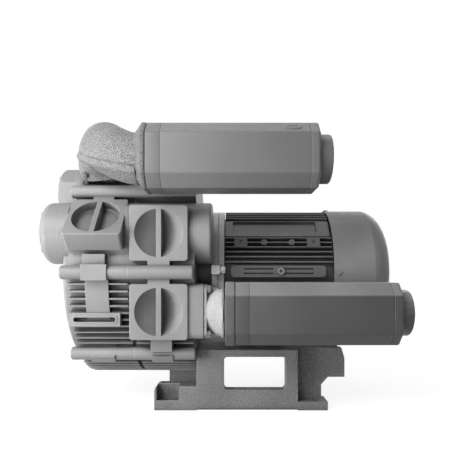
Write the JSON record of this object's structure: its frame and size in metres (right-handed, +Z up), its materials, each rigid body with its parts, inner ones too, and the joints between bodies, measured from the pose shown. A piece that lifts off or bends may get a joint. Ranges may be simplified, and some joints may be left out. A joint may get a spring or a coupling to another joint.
{
  "type": "side channel blower",
  "caption": "Two stage side channel blower with flanged motor, finned casings, cast elbows, eight sided silencers and a cast base.",
  "frame": {"origin": "on the floor, in the middle of the four base holes", "axes": "+X along the shaft from the blower to the motor's fan end, +Y away from the side with the silencers, +Z up"},
  "size_m": [0.8935, 0.693, 0.7301],
  "materials": {
    "cast_base_paint": "sand cast, satin grey paint",
    "cast_paint": "sand cast, satin grey paint",
    "casing_paint": "cast, semi-gloss grey paint",
    "silencer_paint": "semi-gloss grey paint",
    "motor_paint": "semi-gloss dark grey paint",
    "cowl_paint": "satin dark grey paint",
    "bare_aluminium": "machined",
    "bright_steel": "zinc plated or ground",
    "core_steel": "laminated",
    "copper": "varnished copper wire",
    "black_rubber": "matt",
    "black_plastic": "matt",
    "acoustic_foam": "open cell foam"
  },
  "bodies": {
    "root": {"base_bolts": "bright_steel", "base_deck": "cast_base_paint", "base_far_side": "cast_base_paint", "base_foot": "cast_base_paint", "cable_glands": "black_plastic", "channel_ring": "bare_aluminium", "cowl_screws": "bright_steel", "discharge_elbow": "cast_paint", "discharge_silencer_collar": "silencer_paint", "discharge_silencer_end_cap": "silencer_paint", "discharge_silencer_foam": "acoustic_foam", "discharge_silencer_inlet_cap": "cast_paint", "discharge_silencer_liner": "bright_steel", "discharge_silencer_shell": "silencer_paint", "drive_bearing_outer": "bright_steel", "drive_end_shield": "cast_paint", "duct_cap_screws": "bright_steel", "elbow_gaskets": "black_rubber", "elbow_studs": "bright_steel", "end_cover": "casing_paint", "fan_cowl": "cowl_paint", "flange_bolts": "bright_steel", "left_casing": "casing_paint", "motor_frame": "motor_paint", "rear_bearing_cover": "motor_paint", "rear_bearing_outer": "bright_steel", "rear_end_shield": "motor_paint", "right_casing": "casing_paint", "shaft_seals": "black_rubber", "shield_screws": "bright_steel", "stator_core": "core_steel", "stator_windings": "copper", "suction_duct_cap": "casing_paint", "suction_elbow": "cast_paint", "suction_silencer_collar": "silencer_paint", "suction_silencer_end_cap": "silencer_paint", "suction_silencer_foam": "acoustic_foam", "suction_silencer_inlet_cap": "cast_paint", "suction_silencer_liner": "bright_steel", "suction_silencer_shell": "silencer_paint", "terminal_box": "motor_paint", "terminal_gasket": "black_rubber", "terminal_lid": "motor_paint", "terminal_lid_screws": "bright_steel", "tie_screws": "bright_steel", "transfer_duct_cap": "casing_paint", "transfer_duct_end": "casing_paint"},
    "rotor": {"cooling_fan": "black_plastic", "drive_bearing_inner": "bright_steel", "drive_spacer": "bright_steel", "impeller_keys": "bright_steel", "impeller_spacer": "bright_steel", "impeller_stage_1": "bare_aluminium", "impeller_stage_2": "bare_aluminium", "motor_shaft": "bright_steel", "rear_bearing_inner": "bright_steel", "rotor_core": "core_steel", "shaft_nut": "bright_steel", "shaft_washer": "bright_steel"},
    "drive_cage": {"drive_bearing_balls": "bright_steel"},
    "rear_cage": {"rear_bearing_balls": "bright_steel"}
  },
  "joints": [
    {"name": "rotor_spin", "type": "hinge", "parent": "root", "child": "rotor", "pos_m": [0, 0, 0.355], "axis": [1, 0, 0], "continuous": true},
    {"name": "drive_cage_spin", "type": "hinge", "parent": "root", "child": "drive_cage", "pos_m": [-0.0475, 0, 0.355], "axis": [1, 0, 0], "continuous": true},
    {"name": "rear_cage_spin", "type": "hinge", "parent": "root", "child": "rear_cage", "pos_m": [0.2425, 0, 0.355], "axis": [1, 0, 0], "continuous": true}
  ],
  "couplings": [
    {"joint": "drive_cage_spin", "follows": "rotor_spin", "ratio": 0.366},
    {"joint": "rear_cage_spin", "follows": "rotor_spin", "ratio": 0.366}
  ]
}
